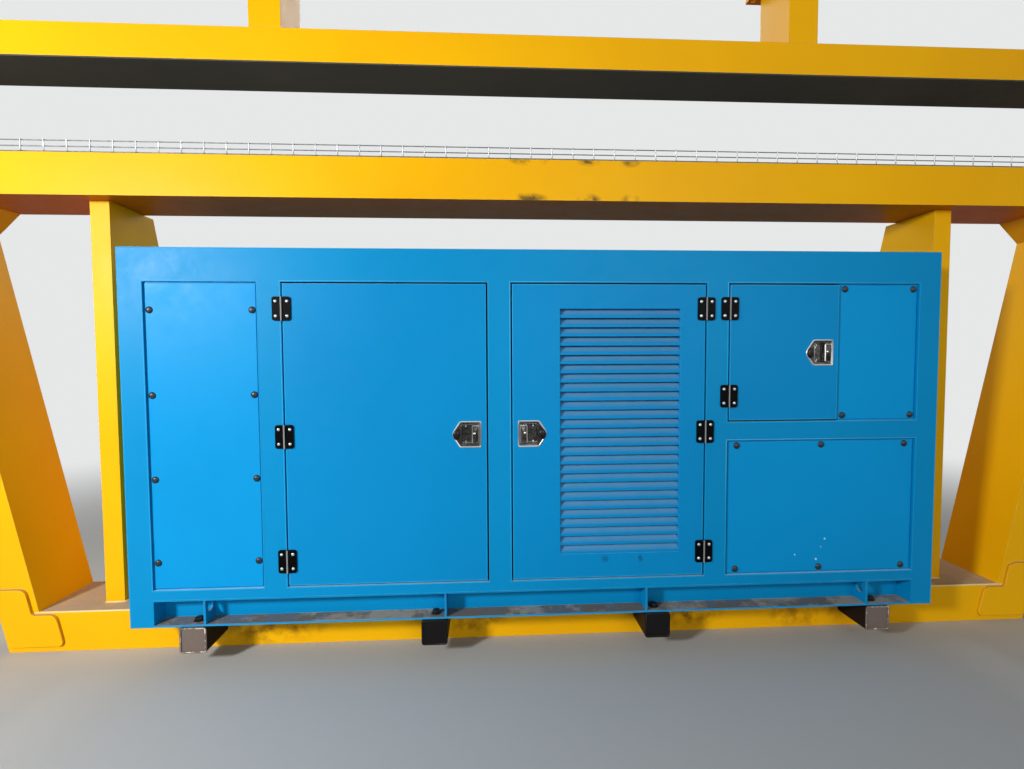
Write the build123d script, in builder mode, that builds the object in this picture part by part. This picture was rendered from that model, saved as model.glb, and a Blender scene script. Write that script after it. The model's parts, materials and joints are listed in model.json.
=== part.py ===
from build123d import *
from math import radians, sin, tan
import os

# A bay of a straddle carrier's side frame, with its power unit housing.
# The origin is the middle of the lower beam's underside. X runs along the frame,
# +Y points away from the doors and +Z points up. Sizes are in millimetres.

# Frame
beam_depth = 300
beam_height = 172
beam_wall = 8
bay_height = 1745
upper_gap = 378
upper_beam_depth = 235
upper_beam_height = 134
soffit_thickness = 6
leg_foot_span = 4290
leg_width = 165
leg_lean = 0.215
leg_wall = 8
haunch_size = 100
post_width = 80
post_wall = 6
post_clearance = 182
post_setback = 75
post_head_overhang = 66
bearer_width = 150
end_plate = 8
upper_post_spacing = 2296
upper_post_width = 130
upper_post_height = 350
flange_thickness = 20
flange_margin = 50
flange_bolt_radius = 11
flange_bolt_inset = 25

# Stepped plates that double the corners between legs and lower beam
doubler_thickness = 10
doubler_edge = 27
doubler_outer_edge = 11
doubler_rise = 100
doubler_step = 11
doubler_reach = 72
doubler_foot = 25
doubler_outer_corner = 34
doubler_inner_corner = 18
doubler_corner_steps = 5

# Cable tray of welded wire on the mid beam
tray_wire = 5
tray_width = 200
tray_height = 55
tray_pitch = 91
tray_floor_pitch = 182
tray_setback = 6
tray_end_gap = 5

# Square tubes that carry the housing
tube_size = 106
tube_wall = 5
tube_corner = 12
tube_corner_steps = 3
tube_outer_spacing = 2842
tube_inner_spacing = 928
tube_reach = 5
cap_recess = 2
cap_thickness = 5

# Housing
housing_depth = 1000
housing_overhang = 165
bearer_overhang = 30
corner_width = 92
mullion_width = 93
left_bay = 430
left_door_bay = 809
centre_door_bay = 806
right_bay = 817
right_door_bay = 475
bottom_rail = 38
door_opening = 1218
top_rail = 128
lower_panel_height = 568
mid_rail = 79
frame_depth = 40
sheet = 3
roof_sheet = 4
floor_sheet = 4
panel_gap = 6
panel_recess = 8
divider_width = 30
backing_width = 40
backing_thickness = 4
seal_width = 14
seal_thickness = 8
seal_gap = 0.3
door_depth = 25

# Skid under the housing
skid_height = 112
skid_plate = 8
skid_setback = 73
gusset_plate = 8
gusset_inset = 50
lifting_hole_radius = 20
lifting_hole_rise = 10
bolt_head_width = 27
bolt_head_height = 12
bolt_washer_radius = 20
bolt_washer = 3
bolt_washer_sides = 12
bolt_setback = 38
bolt_gusset_distance = 42

# Louvre of the centre door
louvre_left = 200
louvre_bottom = 106
louvre_width = 496
louvre_height = 1008
louvre_blades = 27
blade_sheet = 2
blade_lip = 10
blade_depth = 25
blade_setback = 2
cheek_sheet = 2
cheek_depth = 30

# Hinges
hinge_height = 94
hinge_leaf_width = 36
hinge_leaf = 5
hinge_barrel_radius = 5
hinge_barrel_sides = 12
hinge_knuckles = 3
hinge_corner = 9
hinge_corner_steps = 3
hinge_clearance = 0.3
hinge_leaf_gap = 1
hinge_neck = 6
low_hinge = 106
middle_hinge = 608
high_hinge = 1113
small_low_hinge = 107
small_high_hinge = 467

# Paddle latches
latch_length = 118
latch_height = 110
latch_point = 30
latch_tip = 18
latch_plate = 2
latch_rim = 8
latch_lip = 5
latch_corner = 5
latch_corner_steps = 3
latch_cup_depth = 18
latch_cup_wall = 2
latch_fit = 0.5
paddle_length = 36
paddle_thickness = 3
paddle_gap = 3
paddle_rise = 3
lock_radius = 14
lock_sides = 12
lock_rise = 5
latch_edge_distance = 86
latch_level = 608
small_latch_level = 285

# Panel bolts with domed heads
dome_radius = 14
dome_height = 6
dome_slope = 50
dome_sides = 10
side_bolt_inset = 20
side_bolt_rows = 4
side_bolt_end = 109
small_bolt_inset = 22
lower_bolt_side_inset = 44
lower_bolt_columns = 3

# Sizes that follow from the ones above
housing_length = (2 * corner_width + 3 * mullion_width
                  + left_bay + left_door_bay + centre_door_bay + right_bay)
frame_front = -beam_depth / 2
frame_rear = beam_depth / 2
house_left = -housing_length / 2
house_right = housing_length / 2
house_front = frame_front - housing_overhang
house_rear = house_front + housing_depth
panel_face = house_front + panel_recess
panel_back = panel_face + sheet
house_bottom = beam_height
sill = house_bottom + skid_height
opening_bottom = sill + bottom_rail
opening_top = opening_bottom + door_opening
wall_top = opening_top + top_rail
roof_top = wall_top + roof_sheet
mid_beam_bottom = beam_height + bay_height
mid_beam_top = mid_beam_bottom + beam_height
upper_beam_bottom = mid_beam_top + upper_gap + soffit_thickness
upper_beam_top = upper_beam_bottom + upper_beam_height
upper_post_top = upper_beam_top + upper_post_height
upper_beam_middle = frame_front + upper_beam_depth / 2
flange_length = upper_post_width + 2 * flange_margin
flange_depth = upper_beam_depth + 2 * flange_margin
leg_foot = leg_foot_span / 2
frame_end = leg_foot + leg_width + leg_lean * bay_height
column_inner = frame_end - leg_width
post_inner = house_right + post_clearance
bearer_rear = house_rear + bearer_overhang
bearer_front = bearer_rear - bearer_width
tube_centres = [-tube_outer_spacing / 2, -tube_inner_spacing / 2,
                tube_inner_spacing / 2, tube_outer_spacing / 2]

# Left and right edge of each bay in the front wall
bays = {}
bay_start = house_left + corner_width
for bay_name, bay_width in (("left", left_bay), ("left_door", left_door_bay),
                            ("centre_door", centre_door_bay), ("right", right_bay)):
    bays[bay_name] = (bay_start, bay_start + bay_width)
    bay_start += bay_width + mullion_width
divider_left = bays["right"][0] + right_door_bay
lower_panel_top = opening_bottom + lower_panel_height
upper_bay_bottom = lower_panel_top + mid_rail

os.makedirs("parts", exist_ok=True)


def write_piece(piece, name):
    """Label a finished piece and write its file."""
    piece.part.label = name
    export_step(piece.part, f"parts/{name}.step")


def block(x_span, y_span, z_span, mode=Mode.ADD):
    """Add or cut a straight-sided block between two limits on each axis."""
    spans = (x_span, y_span, z_span)
    with Locations(tuple((low + high) / 2 for low, high in spans)):
        Box(*(high - low for low, high in spans), mode=mode)


def tube_along_x(x_span, y_span, z_span, wall):
    """Add a box section that runs along X, open at both ends."""
    block(x_span, y_span, z_span)
    block(x_span, (y_span[0] + wall, y_span[1] - wall),
          (z_span[0] + wall, z_span[1] - wall), Mode.SUBTRACT)


def tube_along_z(x_span, y_span, z_span, wall):
    """Add a box section that stands upright, open at both ends."""
    block(x_span, y_span, z_span)
    block((x_span[0] + wall, x_span[1] - wall),
          (y_span[0] + wall, y_span[1] - wall), z_span, Mode.SUBTRACT)


def side_plane(y):
    """Plane across the frame at y: sketch x is the frame's X and sketch y is Z."""
    return Plane(origin=(0, y, 0), x_dir=(1, 0, 0), z_dir=(0, -1, 0))


def end_plane(x):
    """Plane along the frame's ends at x: sketch x is the frame's Y and sketch y is Z."""
    return Plane(origin=(x, 0, 0), x_dir=(0, 1, 0), z_dir=(1, 0, 0))


def lean_at(height):
    """How far a leaning leg has moved outwards at a height above the lower beam."""
    return leg_lean * (height - beam_height)


def eased(corners, radii, steps):
    """Closed outline whose corners are rounded, each in a few straight steps."""
    points = []
    for place, (corner, radius) in enumerate(zip(corners, radii)):
        here = Vector(*corner)
        back = (Vector(*corners[place - 1]) - here).normalized()
        ahead = (Vector(*corners[(place + 1) % len(corners)]) - here).normalized()
        if not radius:
            points.append(here)
            continue
        angle = back.get_angle(ahead)
        half = radians(angle / 2)
        centre = here + (back + ahead).normalized() * (radius / sin(half))
        spoke = here + back * (radius / tan(half)) - centre
        swing = 180 - angle if back.cross(ahead).Z < 0 else angle - 180
        points += [centre + spoke.rotate(Axis.Z, swing * step / steps)
                   for step in range(steps + 1)]
    return points


def rectangle_corners(centre, width, height):
    """Corners of an upright rectangle, counter-clockwise."""
    x, y = centre
    return [(x - width / 2, y - height / 2), (x + width / 2, y - height / 2),
            (x + width / 2, y + height / 2), (x - width / 2, y + height / 2)]


def ring(x_span, z_span, y_span, width):
    """Add a flat rectangular ring that faces the front."""
    with BuildSketch(side_plane(y_span[1])) as outline:
        with Locations(((x_span[0] + x_span[1]) / 2, (z_span[0] + z_span[1]) / 2)):
            Rectangle(x_span[1] - x_span[0], z_span[1] - z_span[0])
            Rectangle(x_span[1] - x_span[0] - 2 * width,
                      z_span[1] - z_span[0] - 2 * width, mode=Mode.SUBTRACT)
    extrude(outline.sketch, amount=y_span[1] - y_span[0])


# Lower beam with ends cut along the lean of the legs
with BuildPart() as lower_beam:
    with BuildSketch(side_plane(frame_rear)):
        with BuildLine():
            Polyline((-leg_foot - leg_width + end_plate, beam_height),
                     (leg_foot + leg_width - end_plate, beam_height),
                     (leg_foot + leg_width - end_plate + lean_at(0), 0),
                     (-leg_foot - leg_width + end_plate - lean_at(0), 0), close=True)
        make_face()
    extrude(amount=beam_depth)
    block((-frame_end, frame_end), (frame_front + beam_wall, frame_rear - beam_wall),
          (beam_wall, beam_height - beam_wall), Mode.SUBTRACT)
write_piece(lower_beam, "lower_beam")

with BuildPart() as rear_bearer_beam:
    tube_along_x((-post_inner - post_width, post_inner + post_width),
                 (bearer_front, bearer_rear), (0, beam_height), beam_wall)
write_piece(rear_bearer_beam, "rear_bearer_beam")

with BuildPart() as mid_beam:
    tube_along_x((end_plate - frame_end, frame_end - end_plate),
                 (frame_front, frame_rear), (mid_beam_bottom, mid_beam_top), beam_wall)
write_piece(mid_beam, "mid_beam")

with BuildPart() as upper_beam:
    tube_along_x((end_plate - frame_end, frame_end - end_plate),
                 (frame_front, frame_front + upper_beam_depth),
                 (upper_beam_bottom, upper_beam_top), beam_wall)
write_piece(upper_beam, "upper_beam")

# Bare plate under the upper beam, between the end columns
with BuildPart() as upper_beam_soffit:
    block((-column_inner, column_inner), (frame_front, frame_front + upper_beam_depth),
          (upper_beam_bottom - soffit_thickness, upper_beam_bottom))
write_piece(upper_beam_soffit, "upper_beam_soffit")

# Plates that close the ends of the beams
with BuildPart() as frame_end_plates:
    for side in (-1, 1):
        ends = sorted((side * (frame_end - end_plate), side * frame_end))
        block(ends, (frame_front, frame_rear), (mid_beam_bottom, mid_beam_top))
        block(ends, (frame_front, frame_front + upper_beam_depth),
              (upper_beam_bottom, upper_beam_top))
        with BuildSketch(side_plane(frame_rear)):
            with BuildLine():
                Polyline((side * (leg_foot + leg_width - end_plate), beam_height),
                         (side * (leg_foot + leg_width), beam_height),
                         (side * (leg_foot + leg_width + lean_at(0)), 0),
                         (side * (leg_foot + leg_width - end_plate + lean_at(0)), 0),
                         close=True)
            make_face()
        extrude(amount=beam_depth)
    bearer_end = post_inner + post_width
    for side in (-1, 1):
        ends = sorted((side * bearer_end, side * (bearer_end + end_plate)))
        block(ends, (bearer_front, bearer_rear), (0, beam_height))
write_piece(frame_end_plates, "frame_end_plates")


def leg_outline(side, inset):
    """Leaning leg with its haunch, drawn with its walls moved in by inset."""
    foot, head = beam_height, mid_beam_bottom
    haunch_foot = head - haunch_size
    inner = leg_foot + inset
    outer = leg_foot + leg_width - inset
    return [(side * inner, foot),
            (side * (inner + lean_at(haunch_foot)), haunch_foot),
            (side * (inner + lean_at(haunch_foot) - haunch_size), head),
            (side * (outer + lean_at(head)), head),
            (side * outer, foot)]


for side, leg_name in ((-1, "left_leg"), (1, "right_leg")):
    with BuildPart() as leg:
        with BuildSketch(side_plane(frame_rear)):
            with BuildLine():
                Polyline(*leg_outline(side, 0), close=True)
            make_face()
        extrude(amount=beam_depth)
        with BuildSketch(side_plane(frame_rear - leg_wall)):
            with BuildLine():
                Polyline(*leg_outline(side, leg_wall), close=True)
            make_face()
        extrude(amount=beam_depth - 2 * leg_wall, mode=Mode.SUBTRACT)
    write_piece(leg, leg_name)


def doubler_outline(side):
    """Stepped plate with rounded corners over the joint of leg and lower beam."""
    top = beam_height + doubler_rise
    step = beam_height - doubler_step
    foot = doubler_foot
    inner = leg_foot + doubler_edge
    outer = leg_foot + leg_width - doubler_outer_edge
    toe = leg_foot - doubler_reach
    return [(side * (outer + lean_at(top)), top),
            (side * (inner + lean_at(top)), top),
            (side * (inner + lean_at(step)), step),
            (side * toe, step),
            (side * (toe + lean_at(foot) - lean_at(step)), foot),
            (side * (outer + lean_at(foot)), foot)]


doubler_radii = [doubler_inner_corner, doubler_outer_corner, doubler_inner_corner,
                 doubler_outer_corner, doubler_inner_corner, doubler_inner_corner]


with BuildPart() as corner_plates:
    for side in (-1, 1):
        for face in (frame_front, frame_rear + doubler_thickness):
            with BuildSketch(side_plane(face)):
                with BuildLine():
                    Polyline(*eased(doubler_outline(side), doubler_radii,
                                    doubler_corner_steps), close=True)
                make_face()
            extrude(amount=doubler_thickness)
write_piece(corner_plates, "corner_plates")


def post_outline(inset):
    """Side view of a post: upright at the front and sloping at the back."""
    slope = (bearer_rear - frame_rear - post_head_overhang) / bay_height
    front = frame_front + post_setback + inset
    foot, head = beam_height + inset, mid_beam_bottom - inset
    return [(front, foot), (front, head),
            (frame_rear + post_head_overhang - inset, head),
            (frame_rear + post_head_overhang - inset + slope * (head - foot), foot)]


for side, post_name in ((-1, "left_post"), (1, "right_post")):
    post_start = min(side * post_inner, side * (post_inner + post_width))
    with BuildPart() as post:
        with BuildSketch(end_plane(post_start)):
            with BuildLine():
                Polyline(*post_outline(0), close=True)
            make_face()
        extrude(amount=post_width)
        with BuildSketch(end_plane(post_start + post_wall)):
            with BuildLine():
                Polyline(*post_outline(post_wall), close=True)
            make_face()
        extrude(amount=post_width - 2 * post_wall, mode=Mode.SUBTRACT)
    write_piece(post, post_name)

with BuildPart() as end_columns:
    for side in (-1, 1):
        tube_along_z(sorted((side * column_inner, side * frame_end)),
                     (frame_front, frame_front + upper_beam_depth),
                     (mid_beam_top, upper_beam_bottom), beam_wall)
write_piece(end_columns, "end_columns")

# Short posts on the upper beam, each with a bolted flange on top
with BuildPart() as upper_posts:
    for side in (-1, 1):
        centre = side * upper_post_spacing / 2
        tube_along_z((centre - upper_post_width / 2, centre + upper_post_width / 2),
                     (frame_front, frame_front + upper_beam_depth),
                     (upper_beam_top, upper_post_top), beam_wall)
        with BuildSketch(Plane.XY.offset(upper_post_top)):
            with Locations((centre, upper_beam_middle)):
                Rectangle(flange_length, flange_depth)
                with GridLocations(flange_length - 2 * flange_bolt_inset,
                                   flange_depth - 2 * flange_bolt_inset, 2, 2):
                    Circle(flange_bolt_radius, mode=Mode.SUBTRACT)
        extrude(amount=flange_thickness)
write_piece(upper_posts, "upper_posts")

# Cable tray: a floor and two sides of square welded wire
tray_half = column_inner - tray_end_gap
tray_front = frame_front + tray_setback


def cross_wires(y_span, z_span, pitch):
    """Add cross wires at even places along the tray."""
    count = int(2 * tray_half // pitch)
    for step in range(count + 1):
        x = (step - count / 2) * pitch
        block((x - tray_wire / 2, x + tray_wire / 2), y_span, z_span)


with BuildPart() as cable_tray_floor:
    floor_z = (mid_beam_top, mid_beam_top + tray_wire)
    cross_wires((tray_front, tray_front + tray_width), floor_z, tray_floor_pitch)
    for y in (tray_front, tray_front + tray_width / 2 - tray_wire / 2,
              tray_front + tray_width - tray_wire):
        block((-tray_half, tray_half), (y, y + tray_wire), floor_z)
write_piece(cable_tray_floor, "cable_tray_floor")

for tray_name, y in (("cable_tray_front", tray_front),
                     ("cable_tray_back", tray_front + tray_width - tray_wire)):
    with BuildPart() as tray_side:
        side_z = (mid_beam_top + tray_wire, mid_beam_top + tray_height)
        cross_wires((y, y + tray_wire), side_z, tray_pitch)
        for z in (mid_beam_top + tray_height / 2, mid_beam_top + tray_height - tray_wire):
            block((-tray_half, tray_half), (y, y + tray_wire), (z, z + tray_wire))
    write_piece(tray_side, tray_name)


def square_tubes(y_span):
    """Add the row of square tubes under the housing between two limits in Y."""
    for x in tube_centres:
        centre = (x, house_bottom - tube_size / 2)
        corners = rectangle_corners(centre, tube_size, tube_size)
        with BuildSketch(side_plane(y_span[1])) as section:
            with BuildLine() as outline:
                Polyline(*eased(corners, [tube_corner] * len(corners), tube_corner_steps),
                         close=True)
            make_face(outline.edges())
            with Locations(centre):
                Rectangle(tube_size - 2 * tube_wall, tube_size - 2 * tube_wall,
                          mode=Mode.SUBTRACT)
        extrude(section.sketch, amount=y_span[1] - y_span[0])


tube_front = house_front - tube_reach

with BuildPart() as front_support_tubes:
    square_tubes((tube_front, frame_front))
write_piece(front_support_tubes, "front_support_tubes")

with BuildPart() as rear_support_tubes:
    square_tubes((frame_rear, bearer_front))
write_piece(rear_support_tubes, "rear_support_tubes")

with BuildPart() as tube_end_caps:
    for x in tube_centres:
        with BuildSketch(side_plane(tube_front + cap_recess + cap_thickness)):
            with Locations((x, house_bottom - tube_size / 2)):
                Rectangle(tube_size - 2 * tube_wall, tube_size - 2 * tube_wall)
    extrude(amount=cap_thickness)
write_piece(tube_end_caps, "tube_end_caps")


def channel_outline(start, direction):
    """Channel with its flanges outwards: start is the flange edge, direction points in."""
    web = start + direction * skid_setback
    back = web + direction * skid_plate
    return [(start, house_bottom), (back, house_bottom), (back, sill), (start, sill),
            (start, sill - skid_plate), (web, sill - skid_plate),
            (web, house_bottom + skid_plate), (start, house_bottom + skid_plate)]


# Skid: long channels at front and back, short ones at the ends
with BuildPart() as skid_channels:
    for start, inwards in ((house_front, 1), (house_rear, -1)):
        with BuildSketch(end_plane(house_left + corner_width)):
            with BuildLine():
                Polyline(*channel_outline(start, inwards), close=True)
            make_face()
        extrude(amount=housing_length - 2 * corner_width)
    for start, inwards in ((house_left, 1), (house_right, -1)):
        with BuildSketch(side_plane(house_rear - corner_width)):
            with BuildLine():
                Polyline(*channel_outline(start, inwards), close=True)
            make_face()
        extrude(amount=housing_depth - 2 * corner_width)
write_piece(skid_channels, "skid_channels")

web_back = skid_setback + skid_plate

with BuildPart() as skid_cross_members:
    for x in tube_centres:
        with BuildSketch(side_plane(house_rear - web_back)):
            with Locations((x, (house_bottom + sill) / 2)):
                Rectangle(tube_size, skid_height)
                Rectangle(tube_size - 2 * tube_wall, skid_height - 2 * tube_wall,
                          mode=Mode.SUBTRACT)
    extrude(amount=housing_depth - 2 * web_back)
write_piece(skid_cross_members, "skid_cross_members")


def gusset_place(x):
    """Each gusset stands over the wall of its tube that is nearer the middle."""
    inwards = -1 if x > 0 else 1
    return x + inwards * (gusset_inset - gusset_plate / 2)


def gusset(x, y_start, with_hole):
    """Upright plate between the flanges of a long channel."""
    middle = (y_start + skid_setback / 2, (house_bottom + sill) / 2)
    with BuildSketch(end_plane(x - gusset_plate / 2)) as plate:
        with Locations(middle):
            Rectangle(skid_setback, skid_height - 2 * skid_plate)
        if with_hole:
            with Locations((middle[0], middle[1] + lifting_hole_rise)):
                Circle(lifting_hole_radius, mode=Mode.SUBTRACT)
    extrude(plate.sketch, amount=gusset_plate)


gusset_rows = (house_front, house_rear - skid_setback)

with BuildPart() as lifting_gussets:
    for x in (tube_centres[0], tube_centres[-1]):
        for y in gusset_rows:
            gusset(gusset_place(x), y, True)
write_piece(lifting_gussets, "lifting_gussets")

with BuildPart() as inner_gussets:
    for x in tube_centres[1:-1]:
        for y in gusset_rows:
            gusset(gusset_place(x), y, False)
write_piece(inner_gussets, "inner_gussets")

# Hexagon heads of the bolts that hold the skid to its tubes
with BuildPart() as skid_bolts:
    bolt_seat = house_bottom + skid_plate
    for x in tube_centres:
        outwards = 1 if x > 0 else -1
        for y in (house_front + bolt_setback, house_rear - bolt_setback):
            centre = (gusset_place(x) + outwards * bolt_gusset_distance, y)
            with BuildSketch(Plane.XY.offset(bolt_seat)):
                with Locations(centre):
                    RegularPolygon(bolt_washer_radius, bolt_washer_sides)
            extrude(amount=bolt_washer)
            with BuildSketch(Plane.XY.offset(bolt_seat + bolt_washer)):
                with Locations(centre):
                    RegularPolygon(bolt_head_width / 2, 6, major_radius=False)
            extrude(amount=bolt_head_height)
write_piece(skid_bolts, "skid_bolts")

with BuildPart() as housing_floor:
    block((house_left + corner_width, house_right - corner_width),
          (house_front + frame_depth, house_rear - frame_depth),
          (sill, sill + floor_sheet))
write_piece(housing_floor, "housing_floor")

with BuildPart() as housing_roof:
    block((house_left, house_right), (house_front, house_rear), (wall_top, roof_top))
write_piece(housing_roof, "housing_roof")

with BuildPart() as corner_posts:
    for x in (house_left, house_right - corner_width):
        for y in (house_front, house_rear - corner_width):
            tube_along_z((x, x + corner_width), (y, y + corner_width),
                         (house_bottom, wall_top), sheet)
write_piece(corner_posts, "corner_posts")


def end_wall(outer, inwards, name):
    """Pressed sheet between two corner posts, with its edges turned in."""
    with BuildPart() as wall:
        spans = ((house_front + corner_width, house_rear - corner_width),
                 (sill, wall_top))
        block(sorted((outer, outer + inwards * frame_depth)), *spans)
        block(sorted((outer + inwards * sheet, outer + inwards * frame_depth)),
              (spans[0][0] + sheet, spans[0][1] - sheet),
              (spans[1][0] + sheet, spans[1][1] - sheet), Mode.SUBTRACT)
    write_piece(wall, name)


end_wall(house_left, 1, "left_end_wall")
end_wall(house_right, -1, "right_end_wall")

wall_y = (house_front, house_front + frame_depth)
mullion_starts = [bays[name][1] for name in ("left", "left_door", "centre_door")]

with BuildPart() as front_mullions:
    for x in mullion_starts:
        tube_along_z((x, x + mullion_width), wall_y, (opening_bottom, opening_top), sheet)
    tube_along_z((divider_left, divider_left + divider_width),
                 (panel_back, house_front + frame_depth),
                 (upper_bay_bottom, opening_top), sheet)
write_piece(front_mullions, "front_mullions")

inner_span = (house_left + corner_width, house_right - corner_width)

with BuildPart() as front_rails:
    tube_along_x(inner_span, wall_y, (sill, opening_bottom), sheet)
    tube_along_x(inner_span, wall_y, (opening_top, wall_top), sheet)
    tube_along_x(bays["right"], wall_y, (lower_panel_top, upper_bay_bottom), sheet)
write_piece(front_rails, "front_rails")

rear_y = (house_rear - frame_depth, house_rear)

with BuildPart() as rear_frame:
    for z in ((sill, opening_bottom), (opening_top, wall_top)):
        tube_along_x(inner_span, rear_y, z, sheet)
    for x in mullion_starts:
        tube_along_z((x, x + mullion_width), rear_y, (opening_bottom, opening_top), sheet)
write_piece(rear_frame, "rear_frame")

with BuildPart() as rear_panels:
    for left, right in bays.values():
        opening = ((left, right), rear_y, (opening_bottom, opening_top))
        block(*opening)
        block((left + sheet, right - sheet), (rear_y[0], rear_y[1] - sheet),
              (opening_bottom + sheet, opening_top - sheet), Mode.SUBTRACT)
write_piece(rear_panels, "rear_panels")

# Bolted panels of the front wall, and the frames behind them that take the bolts
bolted_panels = {
    "left_panel": (bays["left"], (opening_bottom, opening_top)),
    "upper_right_panel": ((divider_left, bays["right"][1]),
                          (upper_bay_bottom, opening_top)),
    "lower_right_panel": (bays["right"], (opening_bottom, lower_panel_top)),
}
for panel_name, (x_span, z_span) in bolted_panels.items():
    left_gap = 0 if panel_name == "upper_right_panel" else panel_gap
    with BuildPart() as panel:
        block((x_span[0] + left_gap, x_span[1] - panel_gap),
              (panel_face, panel_back),
              (z_span[0] + panel_gap, z_span[1] - panel_gap))
    write_piece(panel, panel_name)

with BuildPart() as panel_backing_frames:
    backing_y = (panel_back, panel_back + backing_thickness)
    for panel_name, (x_span, z_span) in bolted_panels.items():
        start = x_span[0] + (divider_width if panel_name == "upper_right_panel" else 0)
        ring((start, x_span[1]), z_span, backing_y, backing_width)
write_piece(panel_backing_frames, "panel_backing_frames")


def spread(low, high, count):
    """Evenly spaced places from low to high."""
    return [low + step * (high - low) / (count - 1) for step in range(count)]


bolt_places = []
(left, right), (bottom, top) = bolted_panels["left_panel"]
for z in spread(bottom + side_bolt_end, top - side_bolt_end, side_bolt_rows):
    bolt_places += [(left + side_bolt_inset, z), (right - side_bolt_inset, z)]
(left, right), (bottom, top) = bolted_panels["upper_right_panel"]
for z in (bottom + small_bolt_inset, top - small_bolt_inset):
    bolt_places += [(left + small_bolt_inset, z), (right - small_bolt_inset, z)]
(left, right), (bottom, top) = bolted_panels["lower_right_panel"]
for z in (bottom + small_bolt_inset, top - small_bolt_inset):
    bolt_places += [(x, z) for x in spread(left + lower_bolt_side_inset,
                                           right - lower_bolt_side_inset,
                                           lower_bolt_columns)]

with BuildPart() as panel_bolts:
    with BuildSketch(side_plane(panel_face)):
        with Locations(*bolt_places):
            RegularPolygon(dome_radius, dome_sides)
    extrude(amount=dome_height, taper=dome_slope)
write_piece(panel_bolts, "panel_bolts")

door_bays = {
    "left_door": (bays["left_door"], (opening_bottom, opening_top)),
    "centre_door": (bays["centre_door"], (opening_bottom, opening_top)),
    "right_door": ((bays["right"][0], divider_left), (upper_bay_bottom, opening_top)),
}

with BuildPart() as door_seals:
    seal_start = house_front + door_depth + seal_gap
    for x_span, z_span in door_bays.values():
        ring(x_span, z_span, (seal_start, seal_start + seal_thickness), seal_width)
write_piece(door_seals, "door_seals")

# For each door: hinge side (-1 left, 1 right), hinge heights and latch height
door_fittings = {
    "left_door": (-1, (low_hinge, middle_hinge, high_hinge), latch_level),
    "centre_door": (1, (low_hinge, middle_hinge, high_hinge), latch_level),
    "right_door": (-1, (small_low_hinge, small_high_hinge), small_latch_level),
}


def latch_centre(door_name):
    """Middle of the latch on the door's face, near the edge away from the hinges."""
    hinge_side, _, level = door_fittings[door_name]
    x_span, z_span = door_bays[door_name]
    free_edge = x_span[1] if hinge_side < 0 else x_span[0]
    return free_edge + hinge_side * latch_edge_distance, z_span[0] + level


def hinge_axis(door_name):
    """X of the hinge line, in the middle of the gap at the door's edge."""
    hinge_side, _, _ = door_fittings[door_name]
    x_span, _ = door_bays[door_name]
    return x_span[0] + panel_gap / 2 if hinge_side < 0 else x_span[1] - panel_gap / 2


def cup_size():
    """Length and height of the cup that stands behind a latch."""
    return (latch_length - latch_point - latch_rim - latch_lip,
            latch_height - 2 * (latch_rim + latch_lip))


def cup_centre(door_name):
    """Middle of the latch's cup, on the side away from the hinges' side."""
    hinge_side, _, _ = door_fittings[door_name]
    x, z = latch_centre(door_name)
    return x - hinge_side * (latch_point - latch_rim / 2) / 2, z


louvre_x = (bays["centre_door"][0] + louvre_left,
            bays["centre_door"][0] + louvre_left + louvre_width)
louvre_z = (opening_bottom + louvre_bottom, opening_bottom + louvre_bottom + louvre_height)

for door_name, (x_span, z_span) in door_bays.items():
    leaf_x = (x_span[0] + panel_gap, x_span[1] - panel_gap)
    leaf_z = (z_span[0] + panel_gap, z_span[1] - panel_gap)
    with BuildPart() as door:
        block(leaf_x, (house_front, house_front + door_depth), leaf_z)
        block((leaf_x[0] + sheet, leaf_x[1] - sheet),
              (house_front + sheet, house_front + door_depth),
              (leaf_z[0] + sheet, leaf_z[1] - sheet), Mode.SUBTRACT)
        cup_length, cup_height = cup_size()
        cup_x, cup_z = cup_centre(door_name)
        block((cup_x - cup_length / 2 - latch_fit, cup_x + cup_length / 2 + latch_fit),
              (house_front, house_front + sheet),
              (cup_z - cup_height / 2 - latch_fit, cup_z + cup_height / 2 + latch_fit),
              Mode.SUBTRACT)
        if door_name == "centre_door":
            block((louvre_x[0] - cheek_sheet, louvre_x[1] + cheek_sheet),
                  (house_front, house_front + cheek_depth),
                  (louvre_z[0] - cheek_sheet, louvre_z[1] + cheek_sheet))
            block(louvre_x, (house_front, house_front + cheek_depth), louvre_z,
                  Mode.SUBTRACT)
    write_piece(door, door_name)

# Louvre blades: an upright lip at the front and a slope that rises to the back
with BuildPart() as louvre:
    pitch = louvre_height / louvre_blades
    front = house_front + blade_setback
    back = front + blade_depth
    rise = pitch - blade_lip
    for step in range(louvre_blades):
        z = louvre_z[0] + step * pitch
        with BuildSketch(end_plane(louvre_x[0])):
            with BuildLine():
                Polyline((front, z), (front, z + blade_lip), (back, z + blade_lip + rise),
                         (back, z + blade_lip + rise - blade_sheet),
                         (front + blade_sheet, z + blade_lip - blade_sheet),
                         (front + blade_sheet, z), close=True)
            make_face()
        extrude(amount=louvre_width)
write_piece(louvre, "louvre_blades")


def leaf_plate(x, side, z_middle):
    """Flat leaf of a hinge on one side of its axis, with its outer corners rounded."""
    near = x + side * (hinge_barrel_radius + hinge_leaf_gap)
    far = x + side * hinge_leaf_width
    low, high = z_middle - hinge_height / 2, z_middle + hinge_height / 2
    corners = [(near, low), (far, low), (far, high), (near, high)]
    radii = [0, hinge_corner, hinge_corner, 0]
    with BuildSketch(side_plane(house_front)) as plate:
        with BuildLine() as outline:
            Polyline(*eased(corners, radii, hinge_corner_steps), close=True)
        make_face(outline.edges())
    extrude(plate.sketch, amount=hinge_leaf)


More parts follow.
